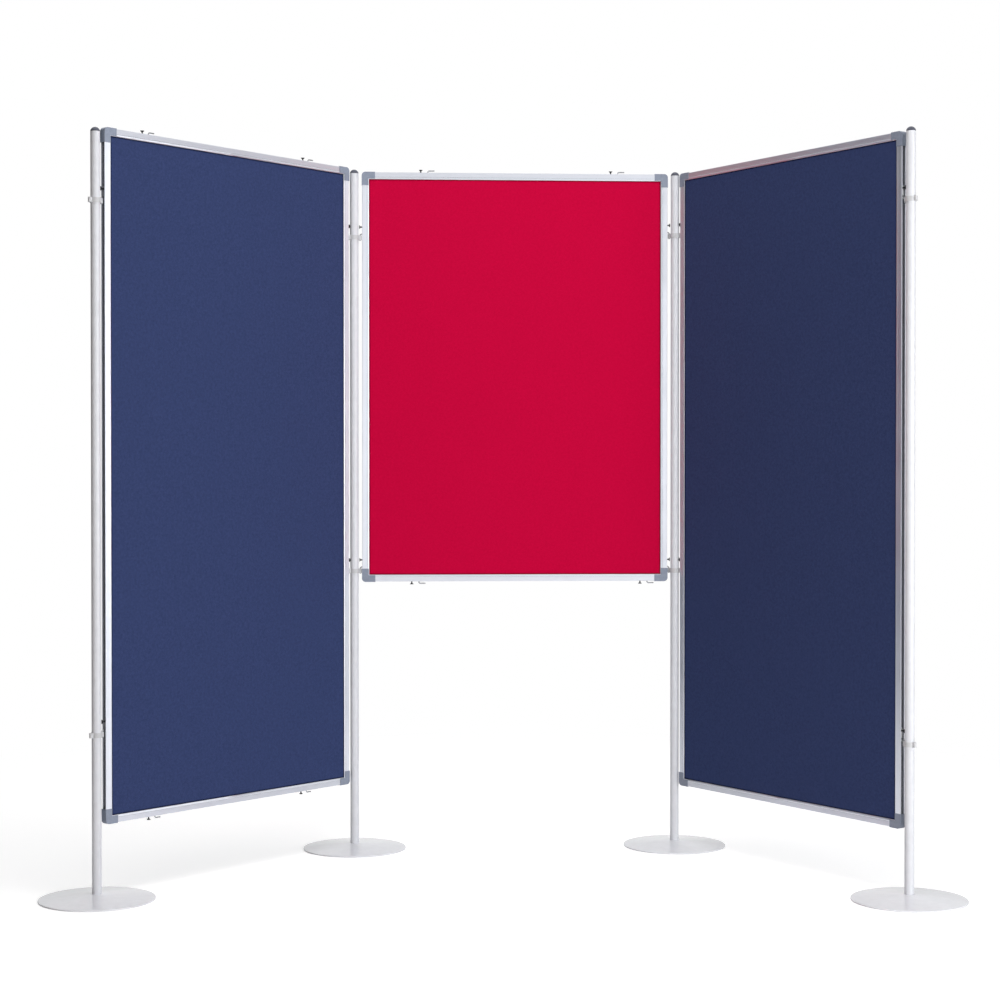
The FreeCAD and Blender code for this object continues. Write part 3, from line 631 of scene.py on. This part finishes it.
def looked_at(tree):
    """1 for what the camera sees, straight, mirrored or through glass, and 0 for the light that it gives."""
    path = add_node(tree, "ShaderNodeLightPath").outputs
    straight_or_mirrored = maths(tree, "MAXIMUM", path["Is Camera Ray"], path["Is Glossy Ray"])
    return maths(tree, "MAXIMUM", straight_or_mirrored, path["Is Transmission Ray"])


def add_plane(name, corners, finish):
    """A flat piece of the studio, from its four corners."""
    mesh = bpy.data.meshes.new(name)
    mesh.from_pydata(corners, [], [(0, 1, 2, 3)])
    mesh.materials.append(finish)
    plane = bpy.data.objects.new(name, mesh)
    scene.collection.objects.link(plane)
    return plane


floor_paint, tree, main, place = new_finish("floor_paint", Base_Color=(0.86, 0.86, 0.86, 1), Roughness=0.8,
                                            Specular_IOR_Level=0.2)
seen = looked_at(tree)
distance = add_node(tree, "ShaderNodeVectorMath", {"operation": "LENGTH"}, i0=place).outputs["Value"]
far = spread(tree, distance, FADE_START, FADE_END, kind="SMOOTHSTEP")
lift = add_node(tree, "ShaderNodeEmission", Strength=maths(tree, "MULTIPLY", seen, NEAR_LIFT)).outputs[0]
near = add_node(tree, "ShaderNodeAddShader", i0=main.outputs[0], i1=lift).outputs[0]
white = add_node(tree, "ShaderNodeEmission", Strength=1.0).outputs[0]
far_seen = maths(tree, "MULTIPLY", seen, far)
mixed = add_node(tree, "ShaderNodeMixShader", i0=far_seen, i1=near, i2=white).outputs[0]
tree.links.new(mixed, tree.nodes["Material Output"].inputs["Surface"])
corners = [(x * FLOOR_REACH, y * FLOOR_REACH, 0) for x, y in ((-1, -1), (1, -1), (1, 1), (-1, 1))]
floor = add_plane("studio_floor", corners, floor_paint)
floor.location.z = -FLOOR_DROP
print("floor", 2 * FLOOR_REACH, "m square")

# %% [markdown]
# ## The light
# A large soft lamp stands to the right of the camera, so the left wing and the red board are bright and the
# right wing is in gentle shade, as in the picture. A weak, warm one on the left opens the shade, one above
# lights the plates and the tops, and one behind keeps the backs from going black.
#
# Metal is different: it is only as bright as what it mirrors, and lamps that suit the felt would burn the
# frame out to white. So the two jobs are split. The soft lamps are hidden from reflections, and two bright
# cards on the right are seen by nothing but reflections.

# %% Set up the lamps
WALL_MIDDLE = (-0.3, 0.2, 1.1)
NEUTRAL, WARM = (1.0, 1.0, 1.0), (1.0, 0.74, 0.55)


def soft_lamp(name, place, target, width, tall, power, only_mirrored=False, tint=NEUTRAL):
    """A lit rectangle that faces the target. It lights things, or is only mirrored in them."""
    data = bpy.data.lights.new(name, "AREA")
    data.shape = "RECTANGLE"
    data.size = width
    data.size_y = tall
    data.energy = power
    data.color = tint
    lamp = bpy.data.objects.new(name, data)
    lamp.location = place
    lamp.rotation_euler = (Vector(target) - Vector(place)).to_track_quat("-Z", "Y").to_euler()
    lamp.visible_camera = False
    lamp.visible_diffuse = not only_mirrored
    lamp.visible_glossy = only_mirrored
    scene.collection.objects.link(lamp)
    return lamp


lamps = [
    soft_lamp("main_lamp", (2.6, -4.3, 1.05), WALL_MIDDLE, width=2.4, tall=1.9, power=154),
    soft_lamp("side_lamp", (-3.0, -4.8, 1.5), (0.5, 0.1, 1.1), width=1.8, tall=2.2, power=36, tint=WARM),
    soft_lamp("top_lamp", (0.0, -0.6, 4.6), (0.0, 0.0, 0.0), width=3.0, tall=2.4, power=96),
    soft_lamp("back_lamp", (0.0, 5.4, 2.4), (0.0, 0.2, 1.1), width=3.4, tall=2.6, power=75),
    soft_lamp("front_card", (3.0, -4.0, 1.5), WALL_MIDDLE, width=2.0, tall=2.6, power=62, only_mirrored=True),
    soft_lamp("right_card", (4.0, -2.6, 1.3), WALL_MIDDLE, width=2.0, tall=2.6, power=45, only_mirrored=True),
]
print("lamps:", [lamp.name for lamp in lamps])

# %% [markdown]
# ## A dark screen
# On the left the studio is dark, and the right wing's frame mirrors that side: it looks brownish grey while
# the left one is bright. A dark cloth screen on that side, hidden from the camera, gives the metal something
# dark to mirror.

# %% Put up the dark screen
SCREEN_X, SCREEN_TOP = -2.5, 3.4
SCREEN_FRONT, SCREEN_BACK = -3.4, 2.6

dark_cloth, tree, main, place = new_finish("dark_cloth", Roughness=0.9, Specular_IOR_Level=0.1)
weave = use_group(tree, fine_grain, Vector=place, Scale=300.0)
cloth_tone = blend_colours(tree, weave["Mottle"], (0.05, 0.05, 0.055), (0.07, 0.07, 0.075))
tree.links.new(cloth_tone, main.inputs["Base Color"])
corners = [(SCREEN_X, SCREEN_FRONT, 0), (SCREEN_X, SCREEN_BACK, 0),
           (SCREEN_X, SCREEN_BACK, SCREEN_TOP), (SCREEN_X, SCREEN_FRONT, SCREEN_TOP)]
dark_screen = add_plane("dark_screen", corners, dark_cloth)
dark_screen.visible_camera = False
print("screen", [round(x, 2) for x in dark_screen.dimensions], "m")

# %% [markdown]
# ## The world
# The world round the studio gives an even, weak light. Where the camera or a reflection looks straight into
# it, it is plain white, so the background is white without any more light on the object.

# %% Set up the world
SKY_LIGHT, SKY_WHITE = 0.28, 1.0

studio = bpy.data.worlds.new("studio_world")
studio.use_nodes = True
tree = studio.node_tree
sky = tree.nodes["Background"]
sky.inputs["Color"].default_value = (1, 1, 1, 1)
tree.links.new(spread(tree, looked_at(tree), 0.0, 1.0, SKY_LIGHT, SKY_WHITE), sky.inputs["Strength"])
scene.world = studio
scene.view_settings.view_transform = "Standard"
print("world:", studio.name)
